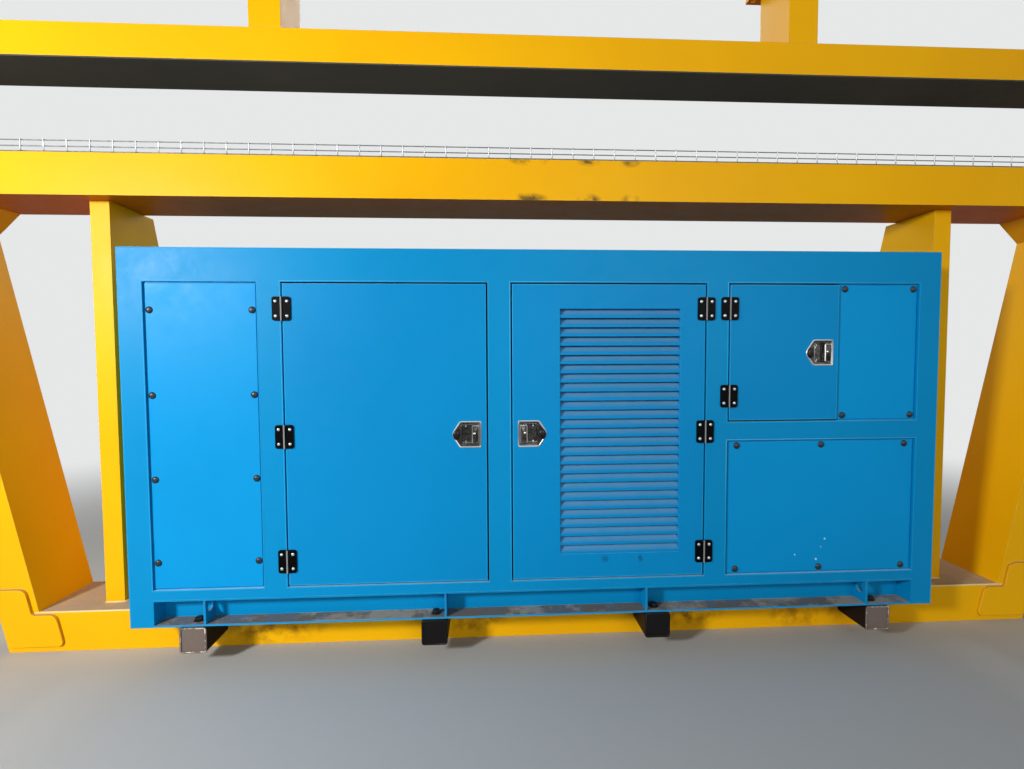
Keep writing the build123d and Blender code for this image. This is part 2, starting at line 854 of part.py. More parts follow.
def barrel(x, z_span):
    """Barrel of a hinge about its axis, rounded in a few flats."""
    with BuildSketch(Plane.XY.offset(z_span[0])) as section:
        with Locations((x, house_front - hinge_barrel_radius)):
            RegularPolygon(hinge_barrel_radius, hinge_barrel_sides)
    extrude(section.sketch, amount=z_span[1] - z_span[0])


def neck(x, side, z_span):
    """Web that joins a leaf to its barrel."""
    block(sorted((x, x + side * (hinge_barrel_radius + hinge_neck))),
          (house_front - hinge_leaf, house_front), z_span)


def hinge_levels(door_name):
    """Heights of the middles of a door's hinges."""
    _, heights, _ = door_fittings[door_name]
    return [door_bays[door_name][1][0] + height for height in heights]


knuckle = hinge_height / hinge_knuckles

with BuildPart() as frame_hinge_leaves:
    for door_name in door_bays:
        side = door_fittings[door_name][0]
        x = hinge_axis(door_name)
        for z in hinge_levels(door_name):
            leaf_plate(x, side, z)
            for low, high in ((-hinge_height / 2, -knuckle / 2 - hinge_clearance),
                              (knuckle / 2 + hinge_clearance, hinge_height / 2)):
                barrel(x, (z + low, z + high))
                neck(x, side, (z + low, z + high))
write_piece(frame_hinge_leaves, "frame_hinge_leaves")

for door_name in door_bays:
    side = -door_fittings[door_name][0]
    x = hinge_axis(door_name)
    with BuildPart() as door_leaves:
        for z in hinge_levels(door_name):
            leaf_plate(x, side, z)
            barrel(x, (z - knuckle / 2, z + knuckle / 2))
            neck(x, side, (z - knuckle / 2, z + knuckle / 2))
    write_piece(door_leaves, f"{door_name}_hinges")


def latch_outline(x, z, side):
    """Latch plate with a blunted point: side is the direction in which it points."""
    blunt = x - side * latch_length / 2
    shoulder = x + side * (latch_length / 2 - latch_point)
    tip = x + side * latch_length / 2
    top, bottom = z + latch_height / 2, z - latch_height / 2
    tip_half = latch_tip / 2
    return [(blunt, bottom), (shoulder, bottom), (tip, z - tip_half),
            (tip, z + tip_half), (shoulder, top), (blunt, top)]


for door_name in door_bays:
    side = door_fittings[door_name][0]
    x, z = latch_centre(door_name)
    plate_corners = latch_outline(x, z, side)
    cup_length, cup_height = cup_size()
    cup_x, cup_z = cup_centre(door_name)
    with BuildPart() as latch:
        with BuildSketch(side_plane(house_front)):
            with BuildLine():
                Polyline(*eased(plate_corners, [latch_corner] * len(plate_corners),
                                latch_corner_steps), close=True)
            make_face()
        extrude(amount=latch_plate)
        cup = ((cup_x - cup_length / 2, cup_x + cup_length / 2),
               (cup_z - cup_height / 2, cup_z + cup_height / 2))
        block(cup[0], (house_front, house_front + latch_cup_depth), cup[1])
        block((cup[0][0] + latch_cup_wall, cup[0][1] - latch_cup_wall),
              (house_front - latch_plate, house_front + latch_cup_depth - latch_cup_wall),
              (cup[1][0] + latch_cup_wall, cup[1][1] - latch_cup_wall), Mode.SUBTRACT)
        paddle_start = cup_x - side * (cup_length / 2 - latch_cup_wall)
        paddle_end = paddle_start + side * paddle_length
        block(sorted((paddle_start, paddle_end)),
              (house_front - latch_plate - paddle_rise,
               house_front - latch_plate - paddle_rise + paddle_thickness),
              (cup[1][0] + latch_cup_wall + paddle_gap,
               cup[1][1] - latch_cup_wall - paddle_gap))
        block(sorted((paddle_start, paddle_start + side * paddle_thickness)),
              (house_front - latch_plate - paddle_rise,
               house_front + latch_cup_depth - latch_cup_wall),
              (cup[1][0] + latch_cup_wall + paddle_gap,
               cup[1][1] - latch_cup_wall - paddle_gap))
        lock_x = x + side * (latch_length - latch_point) / 2
        with BuildSketch(side_plane(house_front - latch_plate)):
            with Locations((lock_x, z)):
                RegularPolygon(lock_radius, lock_sides)
        extrude(amount=lock_rise)
    write_piece(latch, f"{door_name}_latch")
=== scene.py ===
import json
import math

import bmesh
import bpy
from mathutils import Matrix, Vector


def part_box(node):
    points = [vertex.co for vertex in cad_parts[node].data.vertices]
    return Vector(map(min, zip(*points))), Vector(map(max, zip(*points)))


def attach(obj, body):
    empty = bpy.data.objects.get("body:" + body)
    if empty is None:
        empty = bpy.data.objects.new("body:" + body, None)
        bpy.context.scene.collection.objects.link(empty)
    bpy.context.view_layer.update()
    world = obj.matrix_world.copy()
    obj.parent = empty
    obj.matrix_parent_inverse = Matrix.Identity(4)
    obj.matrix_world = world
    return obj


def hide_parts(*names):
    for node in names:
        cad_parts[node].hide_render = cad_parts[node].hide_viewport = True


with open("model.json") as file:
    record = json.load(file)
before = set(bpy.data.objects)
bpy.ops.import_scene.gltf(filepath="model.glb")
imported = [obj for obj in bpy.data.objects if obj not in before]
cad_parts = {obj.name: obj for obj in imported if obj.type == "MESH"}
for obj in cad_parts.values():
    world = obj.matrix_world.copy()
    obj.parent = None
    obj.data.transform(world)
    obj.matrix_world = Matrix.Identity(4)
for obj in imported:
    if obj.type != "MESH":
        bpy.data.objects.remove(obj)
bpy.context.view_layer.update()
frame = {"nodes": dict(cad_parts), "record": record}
nodes = frame["nodes"]

MM = 0.001
MERGE_DISTANCE = 0.01 * MM
house_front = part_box("housing_roof")[0].y
mid_beam_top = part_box("mid_beam")[1].z
lower_beam_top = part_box("lower_beam")[1].z


# ---------------------------------------------------------------- materials

# Grain of the finishes' patterns, in mm. Orange peel is 2 to 4 mm across in life, and the
# mottling of small fittings finer still: both are drawn coarser, so that they show.
COLOUR_DRIFT = 900
DAMP_PATCHES = 260
GRIME_PATCHES = 70
RUST_PATCHES = 35
SMALL_MOTTLING = 12
ORANGE_PEEL = 9
# How far in from a corner paint is drawn pale, partly as wear and partly as a painted highlight,
# and how far a hinge's barrel stands proud of the housing where its grey crest, a painted
# highlight partly given as rubbed steel, starts and where it is full
PALE_CORNER = 3 * MM
CREST_GREY_STARTS, CREST_GREY_FULL = 8.5 * MM, 9.3 * MM
# Distance from the middle, in metres, past which a support tube is an outer one
OUTER_TUBES = (0.9, 1.0)
# What shows where a stone has chipped the blue coat
CHIPPED_BLUE = "#A8E4FC"


def linear(hex_colour):
    """Linear RGBA of an sRGB hex colour."""
    parts = [int(hex_colour[at:at + 2], 16) / 255 for at in (1, 3, 5)]
    return [c / 12.92 if c <= 0.04045 else ((c + 0.055) / 1.055) ** 2.4 for c in parts] + [1.0]


def per_mm(size):
    """Scale, in repeats per metre, of a pattern whose grain is so many millimetres."""
    return 1000 / size


def add(tree, kind, links=None, out=0, **settings):
    """Add a node with its settings; links holds its inputs' values or sources by name.

    Gives back the output that the next node takes.
    """
    new = tree.nodes.new("ShaderNode" + kind)
    for name, value in settings.items():
        setattr(new, name, value)
    for name, value in (links or {}).items():
        if isinstance(value, bpy.types.NodeSocket):
            tree.links.new(value, new.inputs[name])
        else:
            new.inputs[name].default_value = value
    return new.outputs[out] if new.outputs else None


def empty_material(name):
    """A material without nodes, and its tree."""
    material = bpy.data.materials.new(name)
    material.use_nodes = True
    material.node_tree.nodes.clear()
    return material, material.node_tree


def sprayed_enamel(name, colour, drifted, roughness, dust, dust_share, dust_from=0.6,
                   dust_depth=None, damp=None, under_shade=None, edge=None, patches=(), chips=(),
                   shine=0.2):
    """Sprayed paint on steel: a drifting colour, orange peel and settled dust.

    dust_depth keeps dust off a blade's lip, damp is the colour of damp patches in the dust,
    under_shade that of painted shade on undersides and edge that of corners drawn pale, partly
    as worn paint and partly as a painted highlight. A patch (a scuff, a stain or a painted
    shadow) is (middle, half sizes, colour, share) and a chip (middle, radius), in metres.
    """
    material, tree = empty_material(name)
    place = add(tree, "TexCoord", out="Object")
    normal = add(tree, "NewGeometry", out="Normal")
    cloud = add(tree, "TexNoise", {"Vector": place, "Scale": per_mm(COLOUR_DRIFT),
                                   "Detail": 3.0}, "Fac")
    cloud = add(tree, "MapRange", {"Value": cloud, "From Min": 0.35, "From Max": 0.68})
    grime = add(tree, "TexNoise", {"Vector": place, "Scale": per_mm(GRIME_PATCHES),
                                   "Detail": 6.0, "Roughness": 0.65}, "Fac")
    base = add(tree, "Mix", {0: cloud, 6: linear(colour), 7: linear(drifted)}, 2, data_type="RGBA")
    # Patches: scuffs, stains, and the painted shadows beside the tubes
    for centre, size, patch_colour, share in patches:
        scale = [1 / s for s in size]
        patch = add(tree, "Mapping", {"Vector": place, "Scale": scale,
                                      "Location": [-c * s for c, s in zip(centre, scale)]})
        patch = add(tree, "TexGradient", {"Vector": patch}, 1, gradient_type="SPHERICAL")
        patch = add(tree, "MapRange", {"Value": patch, "From Max": 0.55, "To Max": share})
        broken = add(tree, "MapRange", {"Value": grime, "From Min": 0.4, "From Max": 0.6})
        patch = add(tree, "Math", {0: patch, 1: broken}, operation="MULTIPLY")
        base = add(tree, "Mix", {0: patch, 6: base, 7: linear(patch_colour)}, 2, data_type="RGBA")
    for centre, radius in chips:
        spot = add(tree, "VectorMath", {0: place, 1: centre}, "Value", operation="DISTANCE")
        spot = add(tree, "MapRange", {"Value": spot, "From Min": radius,
                                      "From Max": radius * 0.6})
        base = add(tree, "Mix", {0: spot, 6: base, 7: linear(CHIPPED_BLUE)}, 2,
                   data_type="RGBA")
    peel_links = {}
    # Pale corners from the rounded normals: partly worn paint, partly a painted highlight
    if edge:
        rounded = add(tree, "Bevel", {"Radius": PALE_CORNER}, samples=4)
        same = add(tree, "VectorMath", {0: rounded, 1: normal}, "Value", operation="DOT_PRODUCT")
        pale_edge = add(tree, "MapRange", {"Value": same, "From Min": 0.985, "From Max": 0.9})
        broken = add(tree, "MapRange", {"Value": grime, "From Min": 0.4, "From Max": 0.6,
                                        "To Max": 0.6})
        pale_edge = add(tree, "Math", {0: pale_edge, 1: broken}, operation="MULTIPLY")
        base = add(tree, "Mix", {0: pale_edge, 6: base, 7: linear(edge)}, 2, data_type="RGBA")
        peel_links["Normal"] = rounded
    height = add(tree, "SeparateXYZ", {0: normal}, "Z")
    # Painted shade: downward faces turn brown
    if under_shade:
        underside_shade = add(tree, "MapRange", {"Value": height, "From Min": -0.6, "From Max": -0.9})
        base = add(tree, "Mix", {0: underside_shade, 6: base, 7: linear(under_shade)}, 2, data_type="RGBA")
    up = add(tree, "MapRange", {"Value": height, "From Min": dust_from,
                                "From Max": dust_from + 0.3})
    broken = add(tree, "MapRange", {"Value": grime, "From Min": 0.2, "From Max": 0.55,
                                    "To Min": dust_share * 0.6, "To Max": dust_share})
    settled = add(tree, "Math", {0: up, 1: broken}, operation="MULTIPLY")
    if dust_depth:
        depth = add(tree, "SeparateXYZ", {0: place}, "Y")
        depth = add(tree, "MapRange", {"Value": depth, "From Min": house_front,
                                       "From Max": house_front + dust_depth})
        settled = add(tree, "Math", {0: settled, 1: depth}, operation="MULTIPLY")
    layer = linear(dust)
    if damp:
        blotch = add(tree, "TexNoise", {"Vector": place, "Scale": per_mm(DAMP_PATCHES),
                                        "Detail": 5.0, "Roughness": 0.7}, "Fac")
        blotch = add(tree, "MapRange", {"Value": blotch, "From Min": 0.46, "From Max": 0.54})
        layer = add(tree, "Mix", {0: blotch, 6: layer, 7: linear(damp)}, 2, data_type="RGBA")
    base = add(tree, "Mix", {0: settled, 6: base, 7: layer}, 2, data_type="RGBA")
    peel = add(tree, "TexNoise", {"Vector": place, "Scale": per_mm(ORANGE_PEEL),
                                  "Detail": 2.0}, "Fac")
    relief = add(tree, "Bump", {"Height": peel, "Strength": 0.25, "Distance": 0.25 * MM,
                                **peel_links})
    sheen = add(tree, "MapRange", {"Value": grime, "From Min": 0.3, "From Max": 0.7,
                                   "To Min": roughness, "To Max": roughness + 0.12})
    sheen = add(tree, "Math", {0: sheen, 1: settled}, operation="MAXIMUM")
    paint = add(tree, "BsdfPrincipled", {"Base Color": base, "Roughness": sheen, "IOR": 1.36,
                                         "Specular IOR Level": shine, "Normal": relief})
    add(tree, "OutputMaterial", {0: paint})
    return material


def fine_grained(name, colour, second, roughness, metallic=1.0, grain=0.8, crest_wear_and_highlight=None,
                 tilted_highlight=None, shine=0.5):
    """Metal or plastic with a fine grain, in mm.

    crest_wear_and_highlight is the colour of a hinge barrel's crest, a painted highlight partly
    given as rubbed steel, and tilted_highlight that of faces which don't look straight to the
    front, a painted highlight.
    """
    material, tree = empty_material(name)
    place = add(tree, "TexCoord", out="Object")
    cloud = add(tree, "TexNoise", {"Vector": place, "Scale": per_mm(SMALL_MOTTLING),
                                   "Detail": 5.0}, "Fac")
    cloud = add(tree, "MapRange", {"Value": cloud, "From Min": 0.35, "From Max": 0.65})
    base = add(tree, "Mix", {0: cloud, 6: linear(colour), 7: linear(second)}, 2, data_type="RGBA")
    # Painted highlight along the barrel's crest, partly rubbed steel
    if crest_wear_and_highlight:
        depth = add(tree, "SeparateXYZ", {0: place}, "Y")
        depth = add(tree, "MapRange", {"Value": depth, "From Min": house_front - CREST_GREY_STARTS,
                                       "From Max": house_front - CREST_GREY_FULL})
        base = add(tree, "Mix", {0: depth, 6: base, 7: linear(crest_wear_and_highlight)}, 2, data_type="RGBA")
    # Painted highlight: faces that don't look straight to the front turn bright
    if tilted_highlight:
        facing = add(tree, "SeparateXYZ", {0: add(tree, "NewGeometry", out="Normal")}, "Y")
        facing = add(tree, "MapRange", {"Value": facing, "From Min": -0.99, "From Max": -0.85})
        base = add(tree, "Mix", {0: facing, 6: base, 7: linear(tilted_highlight)}, 2, data_type="RGBA")
    fine = add(tree, "TexNoise", {"Vector": place, "Scale": per_mm(grain), "Detail": 2.0}, "Fac")
    sheen = add(tree, "MapRange", {"Value": fine, "From Min": 0.3, "From Max": 0.7,
                                   "To Min": roughness * 0.8, "To Max": roughness * 1.3})
    relief = add(tree, "Bump", {"Height": fine, "Strength": 0.15, "Distance": 0.1 * MM})
    metal = add(tree, "BsdfPrincipled", {"Base Color": base, "Roughness": sheen,
                                         "Metallic": metallic, "Specular IOR Level": shine,
                                         "Normal": relief})
    add(tree, "OutputMaterial", {0: metal})
    return material


def rusty_primer(name, colour, rust, ends, roughness, shine=0.2, rust_share=0.6):
    """Dark primer, paler and rusty only on the front faces of the outer support tubes."""
    material, tree = empty_material(name)
    place = add(tree, "TexCoord", out="Object")
    cloud = add(tree, "TexNoise", {"Vector": place, "Scale": per_mm(RUST_PATCHES),
                                   "Detail": 6.0, "Roughness": 0.7}, "Fac")
    along = add(tree, "SeparateXYZ", {0: place}, "X")
    along = add(tree, "Math", {0: along}, operation="ABSOLUTE")
    outer = add(tree, "MapRange", {"Value": along, "From Min": OUTER_TUBES[0],
                                   "From Max": OUTER_TUBES[1]})
    facing = add(tree, "SeparateXYZ", {0: add(tree, "NewGeometry", out="Normal")}, "Y")
    facing = add(tree, "MapRange", {"Value": facing, "From Min": -0.2, "From Max": -0.8})
    outer = add(tree, "Math", {0: outer, 1: facing}, operation="MULTIPLY")
    base = add(tree, "Mix", {0: outer, 6: linear(colour), 7: linear(ends)}, 2, data_type="RGBA")
    rusted = add(tree, "MapRange", {"Value": cloud, "From Min": 0.48, "From Max": 0.6,
                                    "To Max": rust_share})
    rusted = add(tree, "Math", {0: rusted, 1: outer}, operation="MULTIPLY")
    base = add(tree, "Mix", {0: rusted, 6: base, 7: linear(rust)}, 2, data_type="RGBA")
    relief = add(tree, "Bump", {"Height": cloud, "Strength": 0.4, "Distance": 0.6 * MM})
    paint = add(tree, "BsdfPrincipled", {"Base Color": base, "Roughness": roughness, "IOR": 1.4,
                                         "Specular IOR Level": shine, "Normal": relief})
    add(tree, "OutputMaterial", {0: paint})
    return material


# Colours that several finishes share. A pair is the colour and what it drifts to.
MACHINE_YELLOW = ("#FCBD05", "#F6B204")
# Brown painted shade for the undersides of the yellow enamel
YELLOW_UNDERSIDE_SHADE = "#B8620A"
FRAME_BLUE = ("#008ECA", "#0088C2")
# Pale blue of the edges: partly worn paint, partly a painted highlight
PALE_EDGE_BLUE = "#4CBCEC"
BLUE_DUST = "#8FA0A8"
# Places of the wear and painted shadow, in metres: the patches rubbed off both edges of the mid
# beam as (x, half width), the stains beside the tubes, partly soot and drips and partly painted
# shadow cast by the tubes and the housing, as (x, z, half width, colour, share), the two
# smudges low on the louvred door, and the chips of the lower right panel
FRAME_FACE = -0.15
RUBBED_PATCHES = ((-0.055, 0.1), (0.206, 0.06), (0.389, 0.05))
MID_BEAM_EDGES = (1.917, 2.092)
TUBE_STAINS_AND_SHADOWS = ((-1.2, 0.1, 0.28, "#8A5A10", 0.8), (-0.33, 0.12, 0.2, "#7A3E08", 0.85),
          (0.66, 0.12, 0.2, "#6A3206", 0.85), (1.2, 0.1, 0.25, "#8A5208", 0.6))
SMUDGES = (((0.24, -0.315, 0.405), (0.02, 0.05, 0.02), "#0A5C8A", 0.9),
           ((0.39, -0.315, 0.402), (0.012, 0.05, 0.02), "#0A4A70", 0.9))
PANEL_CHIPS = (((1.188, -0.307, 0.464), 0.005), ((1.058, -0.307, 0.398), 0.004),
               ((1.151, -0.307, 0.377), 0.006), ((1.172, -0.307, 0.43), 0.003))

# Two-pack machine enamel, sprayed: warm yellow, glossy with orange peel, brown painted shade on
# its undersides and pale corners, partly worn paint and partly painted highlight, rubbed off in
# dark broken patches along the mid beam's edges
yellow_machine_enamel = sprayed_enamel(
    "yellow_machine_enamel", *MACHINE_YELLOW, 0.33, "#A8906A", 0.6, under_shade=YELLOW_UNDERSIDE_SHADE,
    edge="#FFE08A",
    patches=[((x, FRAME_FACE, z), (width, 0.06, 0.034), "#4A3A20", 0.9)
            for x, width in RUBBED_PATCHES for z in MID_BEAM_EDGES])
# The same enamel low down: dusty on top, brown painted shade on its undersides, pale corners as
# worn paint and painted highlight, and beside the tubes soot and drips with painted shadow
yellow_enamel_dusty = sprayed_enamel(
    "yellow_enamel_dusty", *MACHINE_YELLOW, 0.36, "#B4A088", 0.97, under_shade=YELLOW_UNDERSIDE_SHADE,
    edge="#FFEBC0",
    patches=[((x, FRAME_FACE, z), (width, 0.1, 0.12), colour, share)
            for x, z, width, colour, share in TUBE_STAINS_AND_SHADOWS])
# The same enamel, pale along the lower beam's edge and the feet: partly rubbed through to its
# undercoat, partly a painted highlight
yellow_enamel_rubbed_lit = sprayed_enamel(
    "yellow_enamel_rubbed_lit", "#FFE6B4", "#F6CF78", 0.45, "#E8DCC4", 0.6)
# The same enamel run thick over weld beads, drawn darker as painted shade along the beads
yellow_enamel_weld_shade = sprayed_enamel(
    "yellow_enamel_weld_shade", "#D89A10", "#A8700C", 0.4, "#D8C090", 0.8)
# Powder coat baked on sheet steel: even, saturated blue, semi-gloss, pale on its edges, partly
# worn and partly a painted highlight
blue_powder_coat = sprayed_enamel(
    "blue_powder_coat", "#008CCB", "#0086C3", 0.36, BLUE_DUST, 0.55, edge=PALE_EDGE_BLUE,
    patches=SMUDGES)
# The same powder coat on the welded frame: its joints are ground flush and show no seam, and
# pale dust lies on its ledges
blue_coat_on_frame = sprayed_enamel(
    "blue_coat_on_frame", *FRAME_BLUE, 0.36, "#B4DCEC", 0.85)
# The same powder coat on the fixed panels, a shade lighter, with a few stone chips and pale
# edges, partly worn and partly a painted highlight
blue_coat_chipped = sprayed_enamel(
    "blue_coat_chipped", "#0098DA", "#0090D0", 0.36, BLUE_DUST, 0.55, edge=PALE_EDGE_BLUE,
    chips=PANEL_CHIPS)
# Powder coat on the pressed edges, paler: partly dust and rubbing, partly a painted highlight
# along the bends
blue_pressed_edge_dusty_lit = sprayed_enamel(
    "blue_pressed_edge_dusty_lit", "#1CA0DA", "#1496CE", 0.42, "#A4CCE0", 0.85, dust_from=0.3)
# Powder coat under settled road dust: grey-blue slopes, clean blue lips
blue_coat_dusty = sprayed_enamel(
    "blue_coat_dusty", "#048CCC", "#0886C4", 0.4, "#5C96C2", 0.95, dust_from=0.2,
    dust_depth=0.012)
# Powder coat of the skid, with a thick grey-brown layer of grit on its flanges and pale edges,
# partly worn and partly a painted highlight
blue_skid_coat = sprayed_enamel(
    "blue_skid_coat", *FRAME_BLUE, 0.4, "#A89C8A", 0.99, damp="#746E64",
    edge="#7CC4E4")
# Matt zinc primer left bare under the upper beam: dull warm grey
grey_zinc_primer = sprayed_enamel(
    "grey_zinc_primer", "#54524B", "#484640", 0.6, "#8A857C", 0.2)
# Thin black primer on mill-scale tube: nearly black, brown and rusty at the outer tubes
black_tube_primer = rusty_primer("black_tube_primer", "#141112", "#80604E", "#746A64", 0.5)
# Mild steel weld bead, untreated: bright where it was brushed, browner with rust
bare_weld = rusty_primer("bare_weld", "#1E1A1A", "#F4EEE8", "#8C7468", 0.4, rust_share=1.0)
# Hot-dip galvanised wire: pale grey, half matt, slightly mottled
galvanised_wire = fine_grained("galvanised_wire", "#C8CACC", "#A9ACAF", 0.42)
# The same wire, rougher and darker where it lies inside the tray, its darkness painted shade
galvanised_wire_shaded = fine_grained("galvanised_wire_shaded", "#8E9092", "#77797B", 0.55)
# Zinc-plated steel screws: small bright points
zinc_plated_steel = fine_grained("zinc_plated_steel", "#DCE2E4", "#B9C2C6", 0.3)
# Black oxide on bolt steel: near black with a weak shine
black_oxide_steel = fine_grained("black_oxide_steel", "#141416", "#0C0C0E", 0.4, metallic=0.0,
                                 shine=0.35)
# Moulded polyethylene dome caps, weathered: dark blue-grey with a soft shine
dome_cap_plastic = fine_grained("dome_cap_plastic", "#23323E", "#18242E", 0.34, metallic=0.0,
                                shine=0.4)
# Moulded ABS lock cover: deep black, smooth
abs_lock_cover = fine_grained("abs_lock_cover", "#050506", "#09090A", 0.3, metallic=0.0,
                              shine=0.3)
# Black enamelled hinges, grey along the barrel's crest: a painted highlight, partly rubbed steel
black_hinge_enamel = fine_grained("black_hinge_enamel", "#030305", "#070709", 0.35,
                                  metallic=0.0, crest_wear_and_highlight="#8E9092", shine=0.05)
# Polished stainless steel, pressed: its flats drawn dark as a painted reflection of what they
# face, its folds and tilted faces drawn bright as a painted highlight
stainless_painted_reflection = fine_grained("stainless_painted_reflection", "#6C6B6A", "#3C3B3B", 0.16,
                                 tilted_highlight="#F2F0EE")
# The same steel where it is rolled or domed, drawn bright as a painted highlight
stainless_painted_bright = fine_grained("stainless_painted_bright", "#F2F0EC", "#DAD7D1", 0.14)
# EPDM door seal: matt black rubber with a blue cast of overspray
epdm_seal = fine_grained("epdm_seal", "#06121E", "#040C14", 0.75, metallic=0.0, shine=0.1)

finishes = {
    "yellow_paint": yellow_machine_enamel, "blue_paint": blue_powder_coat,
    "grey_primer": grey_zinc_primer, "galvanised_wire": galvanised_wire,
    "primed_tube": black_tube_primer, "black_fastener": black_oxide_steel,
    "black_hinge": black_hinge_enamel, "stainless_latch": stainless_painted_reflection,
    "seal_rubber": epdm_seal,
}
own_finishes = {
    "lower_beam": yellow_enamel_dusty, "rear_bearer_beam": yellow_enamel_dusty,
    "corner_posts": blue_coat_on_frame, "front_rails": blue_coat_on_frame,
    "front_mullions": blue_coat_on_frame, "rear_frame": blue_coat_on_frame,
    "left_panel": blue_coat_chipped, "upper_right_panel": blue_coat_chipped,
    "lower_right_panel": blue_coat_chipped, "louvre_blades": blue_coat_dusty,
    "skid_channels": blue_skid_coat, "lifting_gussets": blue_skid_coat,
    "inner_gussets": blue_skid_coat,
}


def dress(piece, material):
    """Give a piece one material in all of its slots."""
    piece.data.materials.clear()
    piece.data.materials.append(material)


for subpart in frame["record"]["subparts"]:
    node = subpart["node"]
    dress(nodes[node], own_finishes.get(node, finishes[subpart["material_slot"]]))


# ---------------------------------------------------------------- new pieces

def settle(name, piece_data, material, body, replaced=()):
    """Put finished mesh or curve data in the scene as a piece that rides on a body."""
    piece = bpy.data.objects.new(name, piece_data)
    bpy.context.scene.collection.objects.link(piece)
    dress(piece, material)
    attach(piece, body)
    if replaced:
        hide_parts(*replaced)
    return piece


def settle_shape(name, shape, material, body, replaced=(), sharp=40):
    """Turn a bmesh into a piece, smooth except where its faces meet at a sharp angle."""
    bmesh.ops.remove_doubles(shape, verts=shape.verts, dist=MERGE_DISTANCE)
    bmesh.ops.recalc_face_normals(shape, faces=shape.faces)
    for face in shape.faces:
        face.smooth = True
    mesh = bpy.data.meshes.new(name)
    shape.to_mesh(mesh)
    shape.free()
    mesh.set_sharp_from_angle(angle=math.radians(sharp))
    return settle(name, mesh, material, body, replaced)


def turn(shape, profile, centre, steps, axis=(0, 1, 0)):
    """Turn a profile of (radius, height) pairs about an axis that points into the surface."""
    out = -Vector(axis)
    across = out.orthogonal().normalized()
    verts = [shape.verts.new(Vector(centre) + across * radius * MM + out * height * MM)
             for radius, height in profile]
    edges = [shape.edges.new(pair) for pair in zip(verts, verts[1:])]
    bmesh.ops.spin(shape, geom=verts + edges, cent=centre, axis=axis, angle=math.tau,
                   steps=steps, use_merge=True)


def rods(name, runs, thickness, material, body, replaced=(), closed=False):
    """Round wires or beads along runs of points, in metres."""
    curve = bpy.data.curves.new(name, "CURVE")
    curve.dimensions = "3D"
    curve.bevel_depth = thickness / 2 * MM
    curve.bevel_resolution = 2
    curve.use_fill_caps = True
    for run in runs:
        spline = curve.splines.new("POLY")
        spline.points.add(len(run) - 1)
        for point, place in zip(spline.points, run):
            point.co = (*place, 1)
        spline.use_cyclic_u = closed
    return settle(name, curve, material, body, replaced)


# Cable tray: cross wires bent to a U, with the long wires welded inside them
TRAY_PITCH = 91 * MM
CROSS_WIRE = 5.6
LONG_WIRE = 4.6
LONG_WIRES_BELOW_RIM = (3, 27)
WIRE_BEND = 6 * MM
tray_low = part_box("cable_tray_front")[0]
tray_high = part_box("cable_tray_back")[1]
cross_radius = CROSS_WIRE / 2 * MM
front_wire = tray_low.y + cross_radius
back_wire = tray_high.y - cross_radius
floor_wire = mid_beam_top + cross_radius
cross_count = int((tray_high.x - tray_low.x) // TRAY_PITCH) + 1
cross_runs = []
for step in range(cross_count):
    x = (step - (cross_count - 1) / 2) * TRAY_PITCH
    cross_runs.append([(x, front_wire, tray_high.z), (x, front_wire, floor_wire + WIRE_BEND),
                       (x, front_wire + WIRE_BEND, floor_wire),
                       (x, back_wire - WIRE_BEND, floor_wire),
                       (x, back_wire, floor_wire + WIRE_BEND), (x, back_wire, tray_high.z)])
rods("tray_cross_wires", cross_runs, CROSS_WIRE, galvanised_wire, "root",
     ("cable_tray_floor",))
# The long wires touch the cross wires from inside: two on each wall, three on the floor
inside = (CROSS_WIRE + LONG_WIRE) / 2 * MM
tray_levels = [tray_high.z - underside_shade * MM for underside_shade in LONG_WIRES_BELOW_RIM]
long_places = [(y, z) for z in tray_levels for y in (front_wire + inside, back_wire - inside)]
long_places += [(y, floor_wire + inside)
                for y in (front_wire + inside, (front_wire + back_wire) / 2, back_wire - inside)]
# The long wires take the darker copy of the wire: painted shade inside the tray
rods("tray_long_wires", [[(tray_low.x, y, z), (tray_high.x, y, z)] for y, z in long_places],
     LONG_WIRE, galvanised_wire_shaded, "root",
     ("cable_tray_front", "cable_tray_back"))

# Domed heads of the bolts that hold the fixed panels. Profiles are (radius, height) in mm, and
# places are (x, z) in mm.
DOME = [(0, 7.2), (4, 7.0), (8, 6.0), (11.5, 4.2), (13.6, 1.8), (14, 0)]
DOME_PLACES = ([(x, z) for x in (-1550.5, -1160.5) for z in (431, 764.3, 1097.7, 1431)]
               + [(x, z) for x in (1250.5, 1548.5) for z in (991, 1518)]
               + [(x, z) for x in (797.5, 1162, 1526.5) for z in (344, 868)])
panel_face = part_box("left_panel")[0].y
shape = bmesh.new()
for x, z in DOME_PLACES:
    turn(shape, DOME, (x * MM, panel_face, z * MM), steps=24)
settle_shape("panel_bolt_domes", shape, dome_cap_plastic, "root",
             ("panel_bolts",))

# Button-head screws of the hinges, two in each leaf. Each hinge line has its x, the side on
# which the frame carries it, and the heights of its hinges.
SCREW = [(0, 1.4), (2.2, 1.4), (2.4, 3.8), (4.4, 3.4), (5.9, 2.1), (6.6, 0)]
SCREW_ACROSS = 22
SCREW_APART = 29
LEAF_FACE = 5
HINGES = {
    "left_door": (-1044.5, -1, (428, 930, 1435)),
    "centre_door": (657.5, 1, (428, 930, 1435)),
    "right_door": (756.5, -1, (1076, 1436)),
}
frame_screws = bmesh.new()
for door, (axis_x, frame_side, levels) in HINGES.items():
    door_screws = bmesh.new()
    for level in levels:
        for side, screws in ((frame_side, frame_screws), (-frame_side, door_screws)):
            for lift in (-SCREW_APART, SCREW_APART):
                turn(screws, SCREW, ((axis_x + side * SCREW_ACROSS) * MM,
                                     house_front - LEAF_FACE * MM, (level + lift) * MM),
                     steps=16)
    settle_shape(door + "_hinge_screws", door_screws, zinc_plated_steel, door + "_body")
